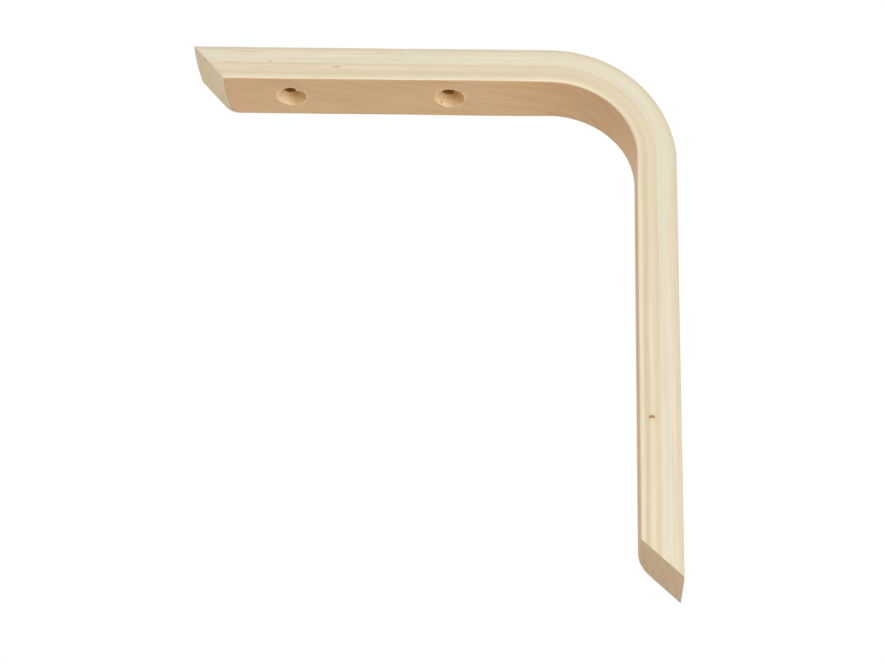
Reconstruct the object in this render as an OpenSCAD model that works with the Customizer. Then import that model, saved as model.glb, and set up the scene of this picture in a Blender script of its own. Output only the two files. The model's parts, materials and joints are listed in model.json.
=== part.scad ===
// Bentwood shelf bracket: one strip of glued veneers, bent once through a right angle.
// The wall face is the plane y = 0 and the bracket reaches out along -Y, with +Z up.
// The origin lies on the wall face, midway between the two wall screw holes.

/* [Overall size] */
// Height of the leg that lies against the wall, from the shelf face to its tip
leg_height = 240; // [180:1:400]
// Reach of the arm that carries the shelf, from the wall face to its tip
arm_reach = 200; // [160:1:350]
// Width of the strip
strip_width = 26; // [18:0.5:60]

/* [Veneers] */
// Number of veneers glued face to face
veneer_count = 8; // [5:1:12]
// Thickness of one veneer
veneer_thickness = 2; // [1.2:0.1:2.6]

/* [Bend] */
// Radius of the inner face round the bend
bend_inner_radius = 36; // [12:1:50]

/* [Edges and ends] */
// Radius of the four eased long edges
edge_radius = 0.8; // [0.3:0.1:2]
// Angle of the arm's end cut, away from square
arm_cut_angle = 40; // [0:1:50]
// Angle of the leg's end cut, away from square
leg_cut_angle = 44; // [0:1:50]
// Radius of the crown across the width of both end cuts
end_crown_radius = 75; // [40:1:300]

/* [Screw holes] */
// Diameter of the straight screw holes
screw_hole_d = 5; // [3.5:0.1:7]
// Diameter of a countersink at the inner face
countersink_d = 12.6; // [8:0.1:16]
// Full angle of a countersink
countersink_angle = 90; // [80:1:120]
// Distance from the corner of the wall and shelf planes to the nearer screw in each arm
screw_corner_distance = 93; // [70:1:110]
// Distance from each arm's tip back to its outer screw
screw_tip_distance = 41; // [25:1:60]

/* [Hidden] */
$fn = 128;
birch = [0.90, 0.83, 0.69];
strip_thickness = veneer_count * veneer_thickness;
bend_outer_radius = bend_inner_radius + strip_thickness;
shelf_screws = [screw_corner_distance, arm_reach - screw_tip_distance];
wall_screws = [screw_corner_distance, leg_height - screw_tip_distance];
shelf_z = (wall_screws[0] + wall_screws[1]) / 2;
straight_arm = arm_reach - bend_outer_radius;
straight_leg = leg_height - bend_outer_radius;
countersink_depth = (countersink_d - screw_hole_d) / 2 / tan(countersink_angle / 2);
// Overshoot of cutting tools past the faces that they break through
overshoot = 1;

// Cross-section of the strip: width along X, thickness along +Y from the inner face at y = 0
module strip_section() {
  flat_width = strip_width - 2 * edge_radius;
  translate([-flat_width / 2, 0])
    square([flat_width, strip_thickness]);
  translate([-strip_width / 2, edge_radius])
    square([strip_width, strip_thickness - 2 * edge_radius]);
  for (x = [-1, 1] * flat_width / 2, y = [edge_radius, strip_thickness - edge_radius])
    translate([x, y])
      circle(r = edge_radius);
}

// Straight run of the strip along +Z, with its outer face at y = 0 and its inner face at -Y
module straight_run(length) {
  translate([0, -strip_thickness, 0])
    linear_extrude(height = length)
      strip_section();
}

// Quarter turn of the strip round the X axis through the origin, from +Y to +Z
module bend() {
  rotate([90, 0, 90])
    rotate_extrude(angle = 90)
      translate([bend_inner_radius, 0])
        rotate(-90)
          strip_section();
}

// Tool that trims the end of a straight run: it slopes back from the tip on the outer face at the
// origin, and is hollowed to leave the end crowned across the width
module end_trimmer(cut_angle) {
  block = 2 * strip_width + 2 * strip_thickness;
  rotate([cut_angle, 0, 0])
    translate([0, block / 2, 0])
      rotate([90, 0, 0])
        linear_extrude(height = 2 * block)
          difference() {
            translate([-block / 2, -end_crown_radius / 2])
              square([block, end_crown_radius / 2 + block]);
            translate([0, -end_crown_radius])
              circle(r = end_crown_radius, $fn = 256);
          }
}

// Tool for one countersunk screw hole, its mouth at the origin and its axis along +Z
module screw_hole() {
  straight = strip_thickness - countersink_depth;
  translate([0, 0, countersink_depth - overshoot])
    cylinder(d = screw_hole_d, h = straight + 2 * overshoot);
  translate([0, 0, -overshoot])
    cylinder(
      d1 = countersink_d + 2 * overshoot * tan(countersink_angle / 2),
      d2 = screw_hole_d,
      h = countersink_depth + overshoot
    );
}

module bracket() {
  color(birch)
    difference() {
      translate([0, 0, shelf_z]) {
        // Leg down the wall
        translate([0, 0, -leg_height])
          straight_run(straight_leg);
        // Arm under the shelf
        translate([0, -bend_outer_radius, 0])
          rotate([90, 0, 0])
            straight_run(straight_arm);
        translate([0, -bend_outer_radius, -bend_outer_radius])
          bend();
      }
      translate([0, 0, shelf_z - leg_height])
        mirror([0, 0, 1])
          end_trimmer(leg_cut_angle);
      translate([0, -arm_reach, shelf_z])
        rotate([90, 0, 0])
          end_trimmer(arm_cut_angle);
      for (drop = wall_screws)
        translate([0, -strip_thickness, shelf_z - drop])
          rotate([-90, 0, 0])
            screw_hole();
      for (reach = shelf_screws)
        translate([0, -reach, shelf_z - strip_thickness])
          screw_hole();
    }
}

bracket();
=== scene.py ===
import json
import math
import bmesh
import bpy
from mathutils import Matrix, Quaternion, Vector


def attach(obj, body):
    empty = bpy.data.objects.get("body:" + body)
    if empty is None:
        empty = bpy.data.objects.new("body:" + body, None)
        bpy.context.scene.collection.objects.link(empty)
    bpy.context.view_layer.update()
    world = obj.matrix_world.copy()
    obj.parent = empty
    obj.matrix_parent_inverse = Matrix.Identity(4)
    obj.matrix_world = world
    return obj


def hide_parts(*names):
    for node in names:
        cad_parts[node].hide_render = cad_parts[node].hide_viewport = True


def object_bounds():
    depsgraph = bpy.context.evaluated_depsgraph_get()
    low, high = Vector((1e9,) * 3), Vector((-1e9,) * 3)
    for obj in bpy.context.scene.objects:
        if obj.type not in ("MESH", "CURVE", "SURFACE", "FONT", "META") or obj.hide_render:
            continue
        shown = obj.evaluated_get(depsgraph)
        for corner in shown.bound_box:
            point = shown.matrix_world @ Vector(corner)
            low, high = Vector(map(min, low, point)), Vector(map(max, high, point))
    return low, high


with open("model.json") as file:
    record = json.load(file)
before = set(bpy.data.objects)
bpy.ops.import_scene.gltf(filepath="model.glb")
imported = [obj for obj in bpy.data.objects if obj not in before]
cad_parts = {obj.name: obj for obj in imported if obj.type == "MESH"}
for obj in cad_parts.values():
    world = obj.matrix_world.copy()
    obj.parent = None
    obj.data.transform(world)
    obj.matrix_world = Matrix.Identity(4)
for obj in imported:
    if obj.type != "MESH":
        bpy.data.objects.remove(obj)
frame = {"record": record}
cadLow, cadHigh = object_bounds()
print("frame loaded, CAD box", [round(v, 4) for v in (*cadLow, *cadHigh)])

mm = 0.001

viewpoint = {
    "target": (0.0, -0.09285, 0.01708),
    "distance": 1.0555,
    "elevation": -30.29,
    "azimuth": 2.109,   # from +X towards +Y
    "roll": 1.871,
    "lens": 108.62,
    "sensor": 36,
}


def towards(azimuth, elevation):
    # unit vector from the bracket, azimuth from +X towards +Y
    turn, lift = math.radians(azimuth), math.radians(elevation)
    return Vector((math.cos(lift) * math.cos(turn), math.cos(lift) * math.sin(turn), math.sin(lift)))


def placeCamera():
    away = towards(viewpoint["azimuth"], viewpoint["elevation"])
    aim = (-away).to_track_quat("-Z", "Y") @ Quaternion((0, 0, 1), math.radians(viewpoint["roll"]))
    spot = Vector(viewpoint["target"]) + away * viewpoint["distance"]
    bpy.ops.object.camera_add(location=spot, rotation=aim.to_euler())
    camera = bpy.context.object
    camera.name = "camera"
    camera.data.lens = viewpoint["lens"]
    camera.data.sensor_width = viewpoint["sensor"]
    bpy.context.scene.camera = camera


studio = {
    "floorHeight": -1.2,
    "floorSize": 24,
    "floorColour": (0.88, 0.86, 0.83, 1),
    "ambient": 0.49,
    "ambientColour": (1, 1, 1, 1),
    # name: azimuth, elevation, distance, size, power, colour
    "lamps": {
        "keyLamp": (38, -12, 1.9, 1.1, 14.5, (1.0, 0.985, 0.96)),
        "sideLamp": (0, 5, 1.9, 1.1, 5.2, (1.0, 1.0, 0.99)),
        "endLamp": (-50, -12, 1.9, 1.0, 3.2, (1.0, 0.985, 0.96)),
        "topLamp": (200, 62, 1.9, 1.4, 15, (1.0, 0.99, 0.97)),
    },
}


def placeLamps():
    middle = (cadLow + cadHigh) / 2
    for name, (azimuth, elevation, distance, size, power, colour) in studio["lamps"].items():
        away = towards(azimuth, elevation)
        bpy.ops.object.light_add(
            type="AREA",
            location=middle + away * distance,
            rotation=(-away).to_track_quat("-Z", "Y").to_euler(),
        )
        lamp = bpy.context.object
        lamp.name = name
        lamp.data.size = size
        lamp.data.energy = power
        lamp.data.color = colour
        lamp.visible_camera = False


class Wire:
    # a socket that does sums: each operation adds a Math node
    def __init__(self, finish, socket):
        self.finish = finish
        self.socket = socket

    def math(self, operation, *others):
        return self.finish.add("Math", {"operation": operation}, dict(enumerate((self, *others))))

    def mathAfter(self, operation, first):
        return self.finish.add("Math", {"operation": operation}, {0: first, 1: self})

    def __add__(self, other):
        return self.math("ADD", other)

    def __sub__(self, other):
        return self.math("SUBTRACT", other)

    def __mul__(self, other):
        return self.math("MULTIPLY", other)

    def __truediv__(self, other):
        return self.math("DIVIDE", other)

    def __pow__(self, other):
        return self.math("POWER", other)

    def __rsub__(self, other):
        return self.mathAfter("SUBTRACT", other)

    def __rtruediv__(self, other):
        return self.mathAfter("DIVIDE", other)

    __radd__ = __add__
    __rmul__ = __mul__

    def __abs__(self):
        return self.math("ABSOLUTE")

    def floor(self):
        return self.math("FLOOR")

    def lowest(self, other):
        return self.math("MINIMUM", other)

    def highest(self, other):
        return self.math("MAXIMUM", other)

    def step(self, start, end):
        # 0 before start, 1 after end, smooth between
        return self.finish.add(
            "MapRange",
            {"interpolation_type": "SMOOTHSTEP"},
            {"Value": self, "From Min": start, "From Max": end, "To Min": 0.0, "To Max": 1.0},
        )


class Finish:
    # the nodes of a material or of the world, with one method that adds any node
    def __init__(self, owner):
        self.owner = owner
        owner.use_nodes = True
        self.tree = owner.node_tree
        self.tree.nodes.clear()

    def add(self, kind, settings=None, inputs=None, output=0):
        node = self.tree.nodes.new("ShaderNode" + kind)
        for name, value in (settings or {}).items():
            if name == "stops":
                self.setStops(node.color_ramp, value)
            else:
                setattr(node, name, value)
        for name, value in (inputs or {}).items():
            if isinstance(value, Wire):
                self.tree.links.new(value.socket, node.inputs[name])
            else:
                node.inputs[name].default_value = value
        return Wire(self, node.outputs[output]) if node.outputs else None

    def setStops(self, ramp, stops):
        while len(ramp.elements) < len(stops):
            ramp.elements.new(1)
        for element, (place, colour) in zip(ramp.elements, stops):
            element.position = place
            element.color = (*colour, 1)

    def combine(self, x, y, z):
        return self.add("CombineXYZ", None, {"X": x, "Y": y, "Z": z})

    def noise(self, place, detail=2.0, roughness=0.5, distortion=0.0):
        return self.add(
            "TexNoise",
            {"noise_dimensions": "3D"},
            {"Vector": place, "Scale": 1.0, "Detail": detail, "Roughness": roughness,
             "Distortion": distortion},
        )

    def blend(self, amount, first, second):
        # colour mix, first where amount is 0
        return self.add(
            "Mix",
            {"data_type": "RGBA", "clamp_factor": True},
            {0: amount, 6: first, 7: second},
            output=2,
        )

    def shade(self, colour, amount):
        return self.add("VectorMath", {"operation": "SCALE"}, {"Vector": colour, "Scale": amount})

    def surface(self, colour, roughness, normal, settings):
        relief = {"Normal": normal} if normal else {}
        body = self.add(
            "BsdfPrincipled", None, {"Base Color": colour, "Roughness": roughness, **relief, **settings})
        self.add("OutputMaterial", None, {"Surface": body})
        return self.owner


def paintWorld():
    # the room is white to look at, and dimmer as a light
    world = bpy.data.worlds.new("studioWorld")
    bpy.context.scene.world = world
    finish = Finish(world)
    glow = finish.add("Background", None, {"Color": studio["ambientColour"], "Strength": studio["ambient"]})
    backdrop = finish.add("Background", None, {"Color": (1, 1, 1, 1), "Strength": 1.0})
    seen = finish.add("LightPath", output="Is Camera Ray")
    both = finish.add("MixShader", None, {0: seen, 1: glow, 2: backdrop})
    finish.add("OutputWorld", None, {"Surface": both})


def floorFinish():
    finish = Finish(bpy.data.materials.new("paleFloor"))
    place = finish.add("TexCoord", output="Object")
    cloud = finish.noise(place, detail=3.0)
    roughness = 0.75 + cloud * 0.1
    return finish.surface(studio["floorColour"], roughness, None, {"Specular IOR Level": 0.2})


bracket = {
    "veneers": 8,
    "veneerThickness": 2 * mm,
    "bendInnerRadius": 36 * mm,
    "gridSize": 1 * mm,          # faces along, across and through the strip
    "bendSteps": 64,
    "armCutAngle": 40,           # away from square
    "legCutAngle": 44,
    "crownRadius": 150 * mm,     # both end cuts are sanded to a crown
    "crownCentre": 7 * mm,       # its high point, off the middle of the width
    "armCornerRadius": 9 * mm,   # the inner corner of each end, rounded on the -X side
    "legCornerRadius": 13 * mm,
    "roundedWidth": 17 * mm,     # how far across the strip that rounding dies out
    "roundingBand": 2 * mm,      # how deep under the rounding the grid moves with it
    "slideReach": 30 * mm,       # rows that move to make a slanted end
    "slideFade": 1.25,           # over 1 keeps the rows nearest the tip apart
    "bendThinning": 0.9 * mm,    # the strip is a little thinner in the middle of the bend
    "edgeRadius": 0.8 * mm,
    "bendEdgeRadius": 1.5 * mm,  # the inner edges are eased more round the bend
    "widestEdgeRadius": 1.9 * mm,
    "endEdgeRadius": 0.3 * mm,
    "easingRun": 4.5 * mm,       # how far an end's easing widens into that of the long edge
    "clearOfHoles": 22 * mm,     # edges nearer a hole than this are its own, and stay sharp
    "holeRadius": 2.5 * mm,
    "sinkRadius": 6.3 * mm,
    "sinkDepth": 3.8 * mm,
    "holeRings": 6,              # down the cone, and again down the straight hole
    "patch": 9 * mm,             # half the side of the square of grid round a hole
    "mouthRings": 9,             # between a mouth and that square, and between an outer rim and its own
    "exitRings": 4,
    "rimDrop": 0.02 * mm,        # rims lie this much inside the faces, so that bridges don't cross over
}

width = cadHigh.x - cadLow.x
halfWidth = width / 2
thickness = bracket["veneers"] * bracket["veneerThickness"]
bendOuterRadius = bracket["bendInnerRadius"] + thickness
midRadius = bracket["bendInnerRadius"] + thickness / 2
bendLength = midRadius * math.pi / 2
bendMiddle = Vector((0, -bendOuterRadius, cadHigh.z - bendOuterRadius))
straightLeg = bendMiddle.z - cadLow.z
straightArm = bendMiddle.y - cadLow.y


def stripPlace(point):
    # place in the strip before it was bent: along from the leg's end of the bend, across, depth
    # below the outer face
    y, z = point.y - bendMiddle.y, point.z - bendMiddle.z
    if y <= 0:
        turned, radius = math.pi / 2, z
    elif z <= 0:
        turned, radius = 0, y
    else:
        turned, radius = math.atan2(z, y), math.hypot(y, z)
    along = midRadius * turned + max(-y, 0) - max(-z, 0)
    return Vector((along, point.x, bendOuterRadius - radius))


def grainDirection(point):
    y, z = point.y - bendMiddle.y, point.z - bendMiddle.z
    if z <= 0:
        return Vector((0, 0, 1))
    if y <= 0:
        return Vector((0, -1, 0))
    return Vector((0, -z, y)).normalized()


def screwPlaces():
    # centre of each hole's mouth on the inner face, with the way into the wood
    mounts = {mount["name"]: mount for mount in frame["record"]["mounts"]}
    places = []
    for name, inward in (("wall_screws", Vector((0, 1, 0))), ("shelf_screws", Vector((0, 0, 1)))):
        mount = mounts[name]
        middle = Vector(mount["pos_m"])
        spacing = mount["dims"]["spacing_y_mm"] * mm
        lengthwise = Vector((0, 0, 1)) if inward.y else Vector((0, 1, 0))
        for side in (-1, 1):
            outer = middle + lengthwise * spacing / 2 * side
            places.append((outer - inward * thickness, inward))
    return places


def pick(piece, kind, test, keep=False):
    # in edit mode, select the faces or edges whose middle passes the test, and nothing else
    # unless what is selected is kept
    if not keep:
        bpy.ops.mesh.select_all(action="DESELECT")
        bpy.context.tool_settings.mesh_select_mode = (False, kind == "edges", kind == "faces")
    shape = bmesh.from_edit_mesh(piece.data)
    for part in getattr(shape, kind):
        corners = [corner.co for corner in part.verts]
        if test(sum(corners, Vector()) / len(corners), part):
            part.select_set(True)
    bmesh.update_edit_mesh(piece.data)


def cutRows(piece, axis, start, length):
    # cut the edges that run along a straight part into rows, in two goes because one makes few cuts
    def test(middle, edge):
        run = abs(edge.verts[0].co[axis] - edge.verts[1].co[axis])
        return middle[axis] < start and run > 1.5 * bracket["gridSize"]

    rows = round(length / bracket["gridSize"])
    pick(piece, "edges", test)
    bpy.ops.mesh.subdivide(number_cuts=rows // 2 - 1)
    pick(piece, "edges", test)
    bpy.ops.mesh.subdivide(number_cuts=1)


def bendStrip():
    # the outermost row on each side is twice as wide, to leave room for the eased edges
    edgeRow = bracket["gridSize"]
    inner = (width - 2 * edgeRow, thickness - 2 * edgeRow)
    columns, layers = (round(size / bracket["gridSize"]) for size in inner)
    bpy.ops.mesh.primitive_grid_add(
        x_subdivisions=columns, y_subdivisions=layers, size=1,
        location=(0, -thickness / 2, cadLow.z),
    )
    piece = bpy.context.object
    piece.name = "bentStrip"
    piece.scale = (*inner, 1)
    bpy.ops.object.transform_apply(location=True, rotation=True, scale=True)
    for corner in piece.data.vertices:
        for axis, centre, size in ((0, 0, inner[0]), (1, -thickness / 2, inner[1])):
            offset = corner.co[axis] - centre
            if abs(offset) > size / 2 - 0.1 * edgeRow:
                corner.co[axis] += math.copysign(edgeRow, offset)
    bpy.ops.object.mode_set(mode="EDIT")
    bpy.ops.mesh.select_all(action="SELECT")
    bpy.ops.mesh.extrude_region_move(TRANSFORM_OT_translate={"value": (0, 0, straightLeg)})
    bpy.ops.mesh.spin(
        steps=bracket["bendSteps"], angle=-math.pi / 2, center=bendMiddle, axis=(1, 0, 0),
    )
    bpy.ops.mesh.extrude_region_move(TRANSFORM_OT_translate={"value": (0, -straightArm, 0)})
    cutRows(piece, 2, bendMiddle.z, straightLeg)
    cutRows(piece, 1, bendMiddle.y, straightArm)
    bpy.ops.mesh.select_all(action="SELECT")
    bpy.ops.mesh.remove_doubles(threshold=0.01 * mm)
    bpy.ops.mesh.normals_make_consistent(inside=False)
    bpy.ops.object.mode_set(mode="OBJECT")
    return piece


def roundedPlace(fromInner, fromTip, corner, cut, radius):
    # seen from the side, a point near the inner corner of an end moves in with the rounding
    turning = math.radians(90 - cut)
    middle = Vector((radius, corner + radius * math.tan(turning / 2)))
    offset = middle - Vector((fromInner, fromTip))
    polar, reach = math.atan2(offset.y, offset.x), offset.length
    band = min(bracket["roundingBand"], radius)
    if not 0 < polar < turning or reach < radius - band:
        return fromInner, fromTip
    squareReach = radius / math.cos(min(polar, turning - polar))
    share = band / (squareReach - radius + band)
    place = middle - offset / reach * (radius - band + (reach - radius + band) * share)
    return place.x, place.y


def shapeEnds(piece):
    # slide the end rows back along the strip for the slant and the crown, then round the corner
    for corner in piece.data.vertices:
        along, across, depth = stripPlace(corner.co)
        if along < 0:
            fromTip, cut, widest = straightLeg + along, bracket["legCutAngle"], bracket["legCornerRadius"]
            inward, outward = Vector((0, 0, 1)), Vector((0, 1, 0))
        else:
            fromTip = straightArm + bendLength - along
            cut, widest = bracket["armCutAngle"], bracket["armCornerRadius"]
            inward, outward = Vector((0, 1, 0)), Vector((0, 0, 1))
        if fromTip > bracket["slideReach"]:
            continue
        crown = (across - bracket["crownCentre"]) ** 2 / (2 * bracket["crownRadius"])
        slant = math.tan(math.radians(cut))
        share = max(fromTip, 0) / bracket["slideReach"]
        slide = (depth * slant + crown) * (1 - share ** bracket["slideFade"])
        corner.co += inward * slide
        radius = widest * max(0, 1 - (across + halfWidth) / bracket["roundedWidth"]) ** 1.5
        if radius < 0.1 * mm:
            continue
        fromInner, nowFromTip = thickness - depth, fromTip + slide
        rounded = roundedPlace(fromInner, nowFromTip, thickness * slant + crown, cut, radius)
        corner.co += outward * (rounded[0] - fromInner) + inward * (rounded[1] - nowFromTip)


def settleBend(piece):
    # wood is pressed a little thinner where it is bent: the outer layers sink towards the centre
    for corner in piece.data.vertices:
        along, across, depth = stripPlace(corner.co)
        if 0 < along < bendLength:
            # most of it lies nearer the leg than the arm
            turned = along / midRadius
            swell = math.sin(math.pi * (along / bendLength) ** 0.6) ** 2
            sunk = bracket["bendThinning"] * (1 - depth / thickness) * swell
            corner.co -= Vector((0, math.cos(turned), math.sin(turned))) * sunk


def inPatch(middle, centre, inward, onPlane, reach):
    # inside the square of grid round a hole, on the plane at this depth behind its mouth
    offset = middle - centre
    behind = offset.dot(inward)
    lengthwise = offset.z if inward.y else offset.y
    near = max(abs(offset.x), abs(lengthwise)) < reach
    return near and abs(behind - onPlane) < 2 * bracket["rimDrop"]


def drillHole(piece, centre, inward):
    reach = bracket["patch"]
    segments = 4 * round(2 * reach / bracket["gridSize"])
    for onPlane in (0, thickness):
        pick(piece, "faces", lambda middle, face: inPatch(middle, centre, inward, onPlane, reach))
        bpy.ops.mesh.delete(type="FACE")
    turn = Vector((0, 0, 1)).rotation_difference(inward).to_euler()

    def openRim(onPlane):
        return lambda middle, edge: (
            edge.is_boundary and inPatch(middle, centre, inward, onPlane, reach * 1.01))

    bpy.ops.mesh.select_all(action="DESELECT")
    bpy.context.tool_settings.mesh_select_mode = (False, True, False)
    bpy.ops.mesh.primitive_circle_add(
        vertices=segments, radius=bracket["sinkRadius"], rotation=turn,
        location=centre + inward * bracket["rimDrop"],
    )
    # walls: the cone in rings, then the straight hole, then faces that join each rim to its patch
    rings = bracket["holeRings"]
    narrowing = (bracket["holeRadius"] - bracket["sinkRadius"]) / rings
    down = inward * bracket["sinkDepth"] / rings
    radius = bracket["sinkRadius"]
    for ring in range(rings):
        smaller = bracket["sinkRadius"] + narrowing * (ring + 1)
        bpy.ops.mesh.extrude_edges_move(TRANSFORM_OT_translate={"value": down})
        bpy.ops.transform.resize(value=(smaller / radius,) * 3, center_override=centre + down * (ring + 1))
        radius = smaller
    down = inward * (thickness - bracket["sinkDepth"] - 2 * bracket["rimDrop"]) / rings
    for ring in range(rings):
        bpy.ops.mesh.extrude_edges_move(TRANSFORM_OT_translate={"value": down})
    pick(piece, "edges", openRim(thickness), keep=True)
    bpy.ops.mesh.bridge_edge_loops(number_cuts=bracket["exitRings"], interpolation="LINEAR")
    pick(piece, "edges", openRim(0))
    bpy.ops.mesh.bridge_edge_loops(number_cuts=bracket["mouthRings"], interpolation="LINEAR")


def drillHoles(piece):
    bpy.ops.object.mode_set(mode="EDIT")
    for centre, inward in screwPlaces():
        drillHole(piece, centre, inward)
    bpy.ops.mesh.select_all(action="SELECT")
    bpy.ops.mesh.normals_make_consistent(inside=False)
    bpy.ops.object.mode_set(mode="OBJECT")


def ripple(angle, *waves):
    # a repeatable uneven line round a rim
    return sum(size * math.sin(count * angle + start) for count, size, start in waves)


tearing = {
    "rimHeight": 0.26 * mm,      # fibres that stand up round a countersink
    "rimWidth": 0.22 * mm,
    "rimOffset": 0.16 * mm,
    "notchDepth": 1.5 * mm,      # splintered lip that stands into one mouth
    "notchHole": 2,              # which hole has it
    "notchAngle": -35,           # where it is, from +X towards the arm's tip
    "notchSpread": 15,
    "notchReach": 2 * mm,        # how far it is felt round the mouth and down the cone
    "wallRoughness": 0.10 * mm,
    "lip": 0.24 * mm,            # how far the torn mouth closes in
    # where each straight hole starts in its countersink: towards the tip, across
    "leans": [(-0.3 * mm, 0.2 * mm), (0.4 * mm, 0.3 * mm), (0.9 * mm, 0), (0.7 * mm, -0.4 * mm)],
}


def roughenHoles(piece):
    # torn fibres: a raised rim, an uneven mouth and a rough cone
    places = screwPlaces()
    for corner in piece.data.vertices:
        for index, (centre, inward) in enumerate(places):
            offset = corner.co - centre
            behind = offset.dot(inward)
            flat = offset - inward * behind
            distance = flat.length
            if not bracket["holeRadius"] * 0.9 < distance < bracket["patch"] * 0.99:
                continue
            if not -mm < behind < 1.01 * bracket["sinkDepth"]:
                continue
            lengthwise = flat.z if inward.y else -flat.y
            angle = math.atan2(lengthwise, flat.x)
            outward = flat / distance
            start = index * 2.1
            beyond = distance - bracket["sinkRadius"]
            if behind < 2 * bracket["rimDrop"] and beyond > 0.001 * mm:
                # raised ring on the face, then back to flat
                ring = tearing["rimOffset"] + ripple(
                    angle, (3, 0.06 * mm, start), (7, 0.05 * mm, start * 2), (19, 0.05 * mm, start))
                lift = math.exp(-((beyond - ring) / tearing["rimWidth"]) ** 2)
                uneven = 0.60 + ripple(angle, (2, 0.2, start), (11, 0.22, 1 + start), (23, 0.25, start))
                corner.co -= inward * tearing["rimHeight"] * lift * max(uneven, 0)
            settled = min(1, max(0, (bracket["patch"] - distance) / (2 * mm)))
            pull = ripple(angle, (5, 0.5, start), (13, 0.5, 3 * start), (23, 0.5, start + behind / mm))
            corner.co += outward * tearing["wallRoughness"] * pull * settled
            fromMouth = abs(beyond) + max(behind, 0)
            corner.co -= outward * tearing["lip"] * math.exp(-(fromMouth / mm) ** 2)
            if index == tearing["notchHole"]:
                aside = (math.degrees(angle) - tearing["notchAngle"]) / tearing["notchSpread"]
                near = max(0, 1 - fromMouth / tearing["notchReach"])
                corner.co -= outward * tearing["notchDepth"] * math.exp(-aside ** 2) * near


def leanHoles(piece):
    # the straight holes don't start quite in the middle of their countersinks, and come out true
    holes = list(zip(screwPlaces(), tearing["leans"]))
    for corner in piece.data.vertices:
        for (centre, inward), (onward, aside) in holes:
            offset = corner.co - centre
            behind = offset.dot(inward)
            if (offset - inward * behind).length > bracket["sinkRadius"]:
                continue
            left = (thickness - behind) / (thickness - bracket["sinkDepth"])
            share = min(behind / bracket["sinkDepth"], left)
            tipwards = Vector((0, 0, -1)) if inward.y else Vector((0, -1, 0))
            corner.co += (tipwards * onward + Vector((aside, 0, 0))) * max(share, 0)


def easeEdges(piece):
    # bevel weights by place: long edges uneven, more round the bend, and crisp end cuts
    weights = piece.data.attributes.new("bevel_weight_edge", "FLOAT", "EDGE")
    widest = bracket["widestEdgeRadius"]
    points = [corner.co.copy() for corner in piece.data.vertices]
    places = [stripPlace(point) for point in points]
    mouths = [centre for centre, inward in screwPlaces()]
    faceNormals = {}
    for face in piece.data.polygons:
        for key in face.edge_keys:
            faceNormals.setdefault(key, []).append(face.normal.copy())
    for edge in piece.data.edges:
        normals = faceNormals[edge.key]
        if len(normals) < 2 or normals[0].angle(normals[1]) < math.radians(30):
            continue
        ends = [places[index] for index in edge.vertices]
        alongEdge = all(abs(abs(end.y) - halfWidth) < 0.02 * mm for end in ends)
        if alongEdge and all(min(end.z, thickness - end.z) < 0.02 * mm for end in ends):
            middle = (ends[0] + ends[1]) / 2
            inBend = 0
            if middle.z > thickness / 2:
                inBend = max(0, min(1, 1.6 - abs(middle.x / bendLength - 0.5) * 2.2))
            radius = bracket["edgeRadius"] + (bracket["bendEdgeRadius"] - bracket["edgeRadius"]) * inBend
            uneven = 1 + ripple(middle.x / mm, (0.11, 0.10, middle.y), (0.047, 0.08, 1), (0.29, 0.06, 2))
            weights.data[edge.index].value = min(1, radius * uneven / widest)
        elif all((points[edge.vertices[0]] - mouth).length > bracket["clearOfHoles"] for mouth in mouths):
            # on the rounded side, the end's easing runs over into that of the long edge
            onSide = all(end.y < 0.02 * mm - halfWidth for end in ends)
            fromInner = thickness - (ends[0].z + ends[1].z) / 2
            share = max(0, 1 - fromInner / bracket["easingRun"]) if onSide else 0
            radius = bracket["endEdgeRadius"] + (bracket["edgeRadius"] - bracket["endEdgeRadius"]) * share
            weights.data[edge.index].value = radius / widest
    bevel = piece.modifiers.new("easedEdges", "BEVEL")
    bevel.width = widest
    bevel.segments = 4
    bevel.limit_method = "WEIGHT"
    bevel.use_clamp_overlap = False
    bpy.ops.object.modifier_apply(modifier=bevel.name)


def writePlaces(piece):
    # what the wood's pattern follows: place in the straight strip, and how far a face is end grain
    shape = piece.data
    strip = shape.attributes.new("strip", "FLOAT_VECTOR", "POINT")
    for corner in shape.vertices:
        strip.data[corner.index].vector = stripPlace(corner.co) / mm
    endGrain = shape.attributes.new("endGrain", "FLOAT", "FACE")
    for face in shape.polygons:
        endGrain.data[face.index].value = abs(face.normal.dot(grainDirection(face.center)))


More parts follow.
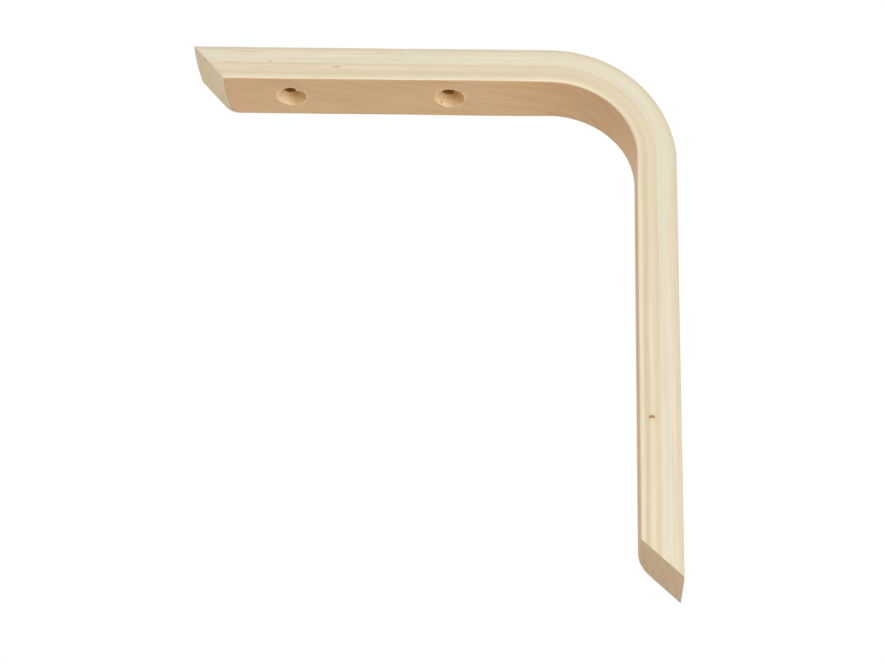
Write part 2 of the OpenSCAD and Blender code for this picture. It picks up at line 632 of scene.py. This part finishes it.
wood = {
    # side of each veneer, from the outer face inwards
    "veneerTones": [
        (0.742, 0.660, 0.490),
        (0.812, 0.732, 0.562),
        (0.815, 0.752, 0.592),
        (0.800, 0.735, 0.570),
        (0.765, 0.655, 0.455),
        (0.812, 0.728, 0.545),
        (0.712, 0.592, 0.388),
        (0.862, 0.785, 0.605),
    ],
    "armInner": (0.792, 0.690, 0.495),
    "warmSide": (0.790, 0.620, 0.400),
    "darkSide": (0.620, 0.500, 0.310),
    # painted highlight for the eased inner edges
    "arrisHighlight": (0.960, 0.815, 0.600),
    "faceLight": (0.800, 0.540, 0.305),
    "faceDark": (0.610, 0.360, 0.170),
    "facePink": (0.840, 0.520, 0.310),
    # paler than the leg's end: partly the end grain's own tone, partly painted light
    "litArmEnd": (0.970, 0.808, 0.552),
    "legEnd": (0.795, 0.590, 0.375),
    "legTipEnd": (0.830, 0.615, 0.415),
    "endDark": (0.540, 0.370, 0.215),
    # painted highlight for the arm end's edge by the inner face
    "endHighlight": (0.980, 0.860, 0.640),
    "rawTone": (0.920, 0.690, 0.420),
    # colour of the painted shade inside the holes
    "holeShadeColour": (0.490, 0.250, 0.072),
    "tornTone": (0.970, 0.780, 0.530),
    "markTone": (0.330, 0.190, 0.085),
    "haloTone": (0.760, 0.480, 0.210),
    # marks on the near side: along, depth, half length, half height, strength
    "sideMarks": [
        (193.3, 2.7, 8.0, 0.26, 0.34),
        (163.3, 2.5, 3.5, 0.22, 0.22),
        (139.0, 2.6, 4.0, 0.22, 0.34),
        (130.2, 3.1, 1.5, 0.25, 0.45),
        (201.0, 7.9, 5.0, 0.24, 0.30),
        (190.5, 8.4, 3.2, 0.24, 0.32),
        (184.8, 7.5, 0.8, 0.34, 0.62),
        (157.3, 9.9, 2.6, 0.27, 0.66),
        (-54.0, 3.3, 6.0, 0.25, 0.15),
    ],
    # marks on the inner face: along, across, half length, half height, lean, strength
    "faceMarks": [
        (114.0, -6.3, 0.6, 0.4, 0.0, 0.50),
        (113.5, -4.3, 0.5, 0.5, 0.0, 0.80),
        (179.7, -8.6, 1.0, 0.3, 0.0, 0.25),
        (96.3, -1.0, 5.2, 0.16, -0.26, 0.30),
    ],
    "knot": (-120.6, 11.3),      # along, depth
}


class Birch(Finish):
    # the strip's wood: its patterns follow the strip as it was before it was bent, in millimetres
    def __init__(self):
        super().__init__(bpy.data.materials.new("birchVeneer"))
        place = self.add("Attribute", {"attribute_name": "strip"}, output="Vector")
        node = self.add("SeparateXYZ", None, {"Vector": place}).socket.node
        self.along, self.across, self.depth = [Wire(self, node.outputs[axis]) for axis in "XYZ"]
        endness = self.add("Attribute", {"attribute_name": "endGrain"}, output="Fac")
        self.ending = endness.step(0.40, 0.62)

        # the veneers' edges wander on the sides
        wander = self.grain(75, 40, 6, 3.7, detail=3.0) - 0.5
        self.wandered = self.depth + wander * 1.7
        self.streaks = self.grain(55, 4, 0.30, 2.9, detail=4.0, roughness=0.65)
        self.dashes = self.grain(8, 3, 0.30, 6.4, detail=1.0).step(0.64, 0.80)

        # the figure of the broad faces runs a little across the strip
        slant = math.radians(12)
        self.slid = self.along * math.cos(slant) + self.across * math.sin(slant)
        self.crossed = self.across * math.cos(slant) - self.along * math.sin(slant)
        self.pores = self.pattern(self.slid / 2.6, self.crossed / 0.24, 2.2, detail=1.0).step(0.60, 0.76)

        self.speckle = self.pattern(0.0, self.across / 0.32, self.depth / 0.25, detail=2.0)
        self.fibres = self.pattern(self.along / 2.8, self.across / 0.32, self.depth / 0.32, detail=3.0)

    def pattern(self, x, y, z, **settings):
        return self.noise(self.combine(x, y, z), **settings)

    def grain(self, alongScale, acrossScale, depthScale, seed, **settings):
        return self.pattern(
            self.along / alongScale, self.across / acrossScale, self.depth / depthScale + seed, **settings)

    def tint(self, amount, colour, tone):
        return self.blend(amount, colour, (*wood[tone], 1))

    def side(self):
        # a soft tone for each veneer, with streaks and dashes
        tones = wood["veneerTones"]
        stops = [
            ((index + share) / len(tones), tone)
            for index, tone in enumerate(tones) for share in (0.28, 0.72)
        ]
        colour = self.add("ValToRGB", {"stops": stops}, {"Fac": self.wandered / (thickness / mm)})
        broad = self.grain(150, 9, 1.3, 8.3, detail=3.0, roughness=0.55)
        blotches = self.grain(22, 8, 2.6, 5.5, detail=3.0)
        warmth = self.grain(60, 12, 1.9, 15.1, detail=2.0).step(0.48, 0.72)
        fineDashes = self.grain(3.2, 2, 0.16, 11.8, detail=1.0).step(0.66, 0.82)
        plainer = self.along.step(-30, 25) * self.wandered.step(8.5, 10.5)
        colour = self.tint(plainer * 0.62, colour, "armInner")
        colour = self.tint(warmth * 0.16, colour, "warmSide")
        colour = self.tint(self.dashes * 0.34 + fineDashes * 0.18, colour, "darkSide")
        return self.shade(
            colour, 1 + (self.streaks - 0.5) * 0.24 + (broad - 0.5) * 0.20 + (blotches - 0.5) * 0.09)

    def broadFace(self):
        # rotary-cut figure, with painted shade over the middle of the bend
        figure = self.pattern(
            self.slid / 12, self.crossed / 1.3, 0.4, detail=4.0, roughness=0.6, distortion=0.5)
        wide = self.pattern(self.slid / 38, self.crossed / 3.6, 4.1, detail=2.0, distortion=0.3)
        cloud = self.pattern(self.along / 30, self.across / 9, 7.7, detail=2.0)
        # painted shade: the inner face is darker over the middle of the bend
        bent = self.along.step(18, 60) * (1 - self.along.step(66, 92))
        amount = (
            (figure - 0.36).highest(0.0) * 1.25 + (wide - 0.5) * 0.5 + (cloud - 0.5) * 0.45
            + self.pores * 0.26 + bent * 0.26 + self.across * 0.009 - 0.05
        )
        colour = self.blend(amount, (*wood["faceLight"], 1), (*wood["faceDark"], 1))
        flushed = self.along.step(188, 204) * (1 - self.across.step(-11, 0))
        colour = self.tint(flushed * 0.6, colour, "facePink")
        # painted light: the broad faces are paler on the leg and the start of the bend
        return self.shade(colour, 1 + (1 - self.along.step(5, 42)) * 0.15)

    def longSurfaces(self):
        # sides and broad faces, with a painted highlight on the eased inner edges between them
        fromFace = self.depth.lowest(thickness / mm - self.depth)
        fromSide = halfWidth / mm - abs(self.across)
        # the eased band and its painted highlight show up to this width, and less by the rounded corners of
        # the ends
        legTip, armTip = -straightLeg / mm, (bendLength + straightArm) / mm
        nearTips = 1 - self.along.step(legTip + 23, legTip + 33) + self.along.step(armTip - 27, armTip - 20)
        easedWidth = 1.9 - (1 - self.across.step(-1, 1)) * nearTips * 1.1
        pastEasing = fromSide.step(easedWidth, easedWidth + 0.3)
        onFace = (1 - fromFace.step(0.02, 0.14)).highest(pastEasing)
        # painted highlight: the band over the eased inner edges is tinted paler, in patches
        eased = fromFace.lowest(fromSide).step(0.03, 0.16) * (1 - pastEasing)
        patchyHighlight = self.grain(5, 40, 40, 12.2, detail=3.0)
        colour = self.blend(onFace, self.side(), self.broadFace())
        return self.tint(eased * self.depth.step(8, 9) * (0.50 + patchyHighlight * 0.75), colour, "arrisHighlight")

    def endCut(self):
        # greyer and darker, veneers as streaks, with fine pores
        veneer = (self.wandered / (bracket["veneerThickness"] / mm)).floor()
        streaks = self.pattern(
            0.3, self.across / 8, self.depth / 0.55 + veneer * 4.1, detail=3.0, distortion=0.2)
        clouds = self.pattern(0.7, self.across / 5, self.depth / 2.4, detail=3.0)
        amount = (streaks - 0.42) * 1.1 + (clouds - 0.50) * 0.7 + (self.speckle - 0.5) * 0.25
        onArm = self.along.step(0, 60)
        colour = self.tint(1 - self.depth.step(0.5, 6), (*wood["legEnd"], 1), "legTipEnd")
        # painted light: the arm's end is painted paler than the leg's, partly its own end grain tone and
        # partly standing in for the stronger light on it
        colour = self.tint(onArm, colour, "litArmEnd")
        colour = self.tint(amount, colour, "endDark")
        # painted highlight: a paler line in patches along the arm end's edge by the inner face
        patchyHighlight = self.pattern(2.0, self.across / 4, 0.5, detail=2.0).step(0.36, 0.58)
        return self.tint(self.depth.step(14.9, 15.6) * onArm * patchyHighlight * 0.8, colour, "endHighlight")

    def holes(self):
        # where the wood is drilled, where its rims are torn, and the colour of its fresh cut, with painted
        # shade inside the holes
        fromHole, against = self.along * 0 + 1000, self.along * 0
        for centre, inward in screwPlaces():
            offset = self.along - stripPlace(centre).x / mm
            fromHole = fromHole.lowest(abs(offset))
            against = against - offset * (1 - abs(offset).step(8.9, 9))
        fromAxis = (fromHole * fromHole + self.across * self.across) ** 0.5
        coneStart = (thickness - bracket["sinkDepth"]) / mm
        fromWall = fromAxis - (bracket["holeRadius"] / mm + (self.depth - coneStart).highest(0.0))
        drilled = 1 - fromWall.step(0.02, 0.12)
        # painted shade: darker deep down, all down the straight hole, and on the side towards the leg's
        # tip, standing in for the shade inside the hole
        straight = 1 - self.depth.step(11.7, 12.5)
        deep = 1 - self.depth.step(12.2, 15.6)
        shaded = 0.48 + self.across.step(-5.5, -1) * 0.17 + deep * 0.04
        holeShadeAmount = straight.highest(deep * 0.29 + against.step(-2.5, 2.8) * shaded)
        colour = self.blend(holeShadeAmount, (*wood["rawTone"], 1), (*wood["holeShadeColour"], 1))
        colour = self.shade(colour, 0.70 + self.fibres * 0.62)
        torn = fromWall.step(0.02, 0.08) * (1 - abs(fromWall - 0.20).step(0.10, 0.42))
        ragged = self.pattern(self.along / 3.4, self.across / 3.0, 9.1, detail=2.0).step(0.40, 0.58)
        rim = torn * self.fibres.step(0.30, 0.50) * (0.35 + ragged * 0.75)
        return drilled, rim, colour

    def marked(self, colour):
        # small dark marks, and the arched knot on the leg with a darker ring of wood about it
        smudge = self.grain(1.2, 1.0, 0.5, 4.4, detail=2.0) - 0.5

        def blot(stretch, height, strength):
            reach = (stretch * stretch + height * height) ** 0.5 + smudge * 1.1
            return (1 - reach.step(0.35, 1.15)) * strength

        sideBlots, faceBlots = self.along * 0, self.along * 0
        for markAlong, markDepth, halfLength, halfHeight, strength in wood["sideMarks"]:
            stretch, height = (self.along - markAlong) / halfLength, (self.depth - markDepth) / halfHeight
            sideBlots = sideBlots.highest(blot(stretch, height, strength))
        for markAlong, markAcross, halfLength, halfHeight, lean, strength in wood["faceMarks"]:
            aside = self.across - markAcross - (self.along - markAlong) * lean
            stretch, height = (self.along - markAlong) / halfLength, aside / halfHeight
            faceBlots = faceBlots.highest(blot(stretch, height, strength))
        knotAlong, knotDepth = self.along - wood["knot"][0], self.depth - wood["knot"][1]
        bow = knotDepth * knotDepth * 0.45
        arch = knotAlong + bow * bow
        knotReach = ((arch / 0.72) ** 2 + (knotDepth / 1.50) ** 2) ** 0.5 + smudge * 0.8
        knot = (1 - knotReach.step(0.60, 1.15)) * 0.85
        halo = ((knotAlong / 2.0) ** 2 + (knotDepth / 2.6) ** 2) ** 0.5 + smudge * 0.6
        nearSide = self.across.step(11.9, 12.4)
        colour = self.tint((1 - halo.step(0.3, 1.2)) * nearSide * 0.42, colour, "haloTone")
        dark = (sideBlots.highest(knot) * nearSide).highest(faceBlots * self.depth.step(14.2, 14.6))
        return self.tint(dark, colour, "markTone")


def woodFinish():
    birch = Birch()
    drilled, rim, raw = birch.holes()
    colour = birch.blend(birch.ending, birch.longSurfaces(), birch.endCut())
    colour = birch.blend(drilled, colour, raw)
    colour = birch.tint(rim * 0.9 * birch.depth.step(12, 13), colour, "tornTone")
    colour = birch.marked(colour)
    roughness = 0.50 + birch.streaks * 0.10 + birch.ending * 0.12 + drilled * 0.15
    fineFibre = birch.grain(26, 0.35, 0.20, 1.3, detail=3.0)
    height = (
        fineFibre * 0.5 - birch.dashes * 0.5 - birch.pores * 0.3 + birch.speckle * birch.ending * 0.8
        + birch.fibres * drilled.highest(rim) * 1.5
    )
    normal = birch.add(
        "Bump", None, {"Strength": 0.35, "Distance": 0.06 * mm, "Height": height}, output="Normal")
    return birch.surface(colour, roughness, normal, {"Specular IOR Level": 0.35})


def buildBracket():
    bpy.ops.object.select_all(action="DESELECT")
    piece = bendStrip()
    print("strip bent:", len(piece.data.polygons), "faces")
    shapeEnds(piece)
    drillHoles(piece)
    print("ends cut and holes drilled:", len(piece.data.polygons), "faces")
    easeEdges(piece)
    writePlaces(piece)
    roughenHoles(piece)
    leanHoles(piece)
    settleBend(piece)
    bpy.ops.object.shade_smooth_by_angle(angle=math.radians(32))
    piece.data.materials.clear()
    piece.data.materials.append(woodFinish())
    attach(piece, "root")
    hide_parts("bracket")
    print("bracket finished:", len(piece.data.polygons), "faces")
    return piece


bpy.context.scene.view_settings.view_transform = "Standard"
placeCamera()
placeLamps()
paintWorld()
bpy.ops.mesh.primitive_plane_add(size=studio["floorSize"], location=(0, 0, studio["floorHeight"]))
floor = bpy.context.object
floor.name = "floor"
floor.data.materials.append(floorFinish())
print("camera, lamps and floor placed")

buildBracket()
